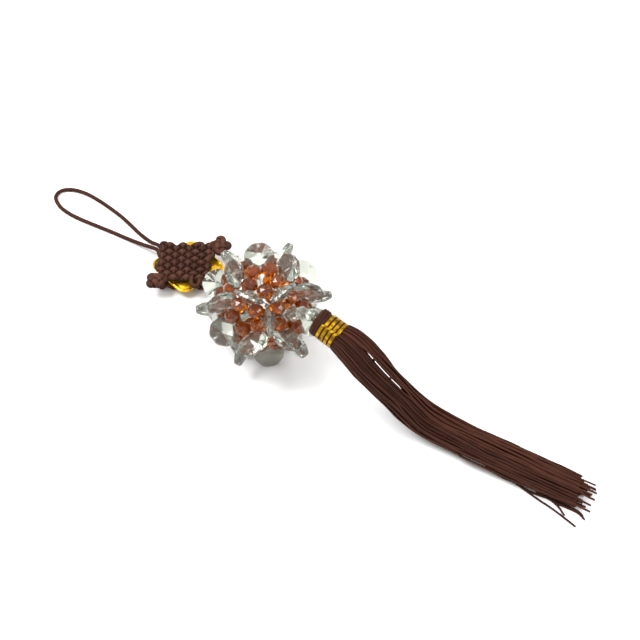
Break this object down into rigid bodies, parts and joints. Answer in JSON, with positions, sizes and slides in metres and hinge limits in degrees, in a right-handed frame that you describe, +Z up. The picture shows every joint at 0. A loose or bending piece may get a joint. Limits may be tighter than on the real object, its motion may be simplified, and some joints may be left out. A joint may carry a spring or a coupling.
{
  "type": "beaded tassel",
  "caption": "Lying beaded tassel: cord loop, woven knot round a plain gold plate, ball of amber beads with clear octagonal petals, neck beads, gold-banded head and long string skirt.",
  "frame": {"origin": "on the surface that the tassel lies on, under the middle of its box, the loop left out", "axes": "+X along the tassel from the loop towards the cut ends, +Z up from the surface"},
  "size_m": [0.3209, 0.0658, 0.0502],
  "materials": {
    "brown_cord": "twisted satin cord, dark brown",
    "brown_string": "fine twisted string, dark brown, slight sheen",
    "gold_plate": "polished gold plate",
    "gold_thread": "wound metallic thread",
    "amber_bead": "faceted, polished, see-through amber brown",
    "clear_bead": "faceted, polished, clear"
  },
  "bodies": {
    "root": {"hanging_loop": "brown_cord", "knot_front": "brown_cord", "knot_back": "brown_cord", "ear_far": "brown_cord", "ear_near": "brown_cord", "link_cord": "brown_cord", "plate": "gold_plate", "neck_bead_1": "clear_bead", "neck_bead_2": "clear_bead", "neck_bead_3": "clear_bead", "tassel_head": "brown_cord", "gold_band": "gold_thread", "skirt": "brown_string", "petal_01": "clear_bead", "petal_02": "clear_bead", "petal_03": "clear_bead", "petal_04": "clear_bead", "petal_05": "clear_bead", "petal_06": "clear_bead", "petal_07": "clear_bead", "petal_08": "clear_bead", "petal_09": "clear_bead", "petal_10": "clear_bead", "petal_11": "clear_bead", "petal_12": "clear_bead", "petal_13": "clear_bead", "petal_14": "clear_bead", "petal_15": "clear_bead", "petal_16": "clear_bead", "petal_17": "clear_bead", "petal_18": "clear_bead", "petal_19": "clear_bead", "petal_20": "clear_bead", "petal_21": "clear_bead", "petal_22": "clear_bead", "petal_23": "clear_bead", "petal_24": "clear_bead", "petal_25": "clear_bead", "petal_26": "clear_bead", "petal_27": "clear_bead", "petal_28": "clear_bead", "petal_29": "clear_bead", "petal_30": "clear_bead", "ring_01": "amber_bead", "ring_02": "amber_bead", "ring_03": "amber_bead", "ring_04": "amber_bead", "ring_05": "amber_bead", "ring_06": "amber_bead", "ring_07": "amber_bead", "ring_08": "amber_bead", "ring_09": "amber_bead", "ring_10": "amber_bead", "ring_11": "amber_bead", "ring_12": "amber_bead"}
  },
  "joints": []
}
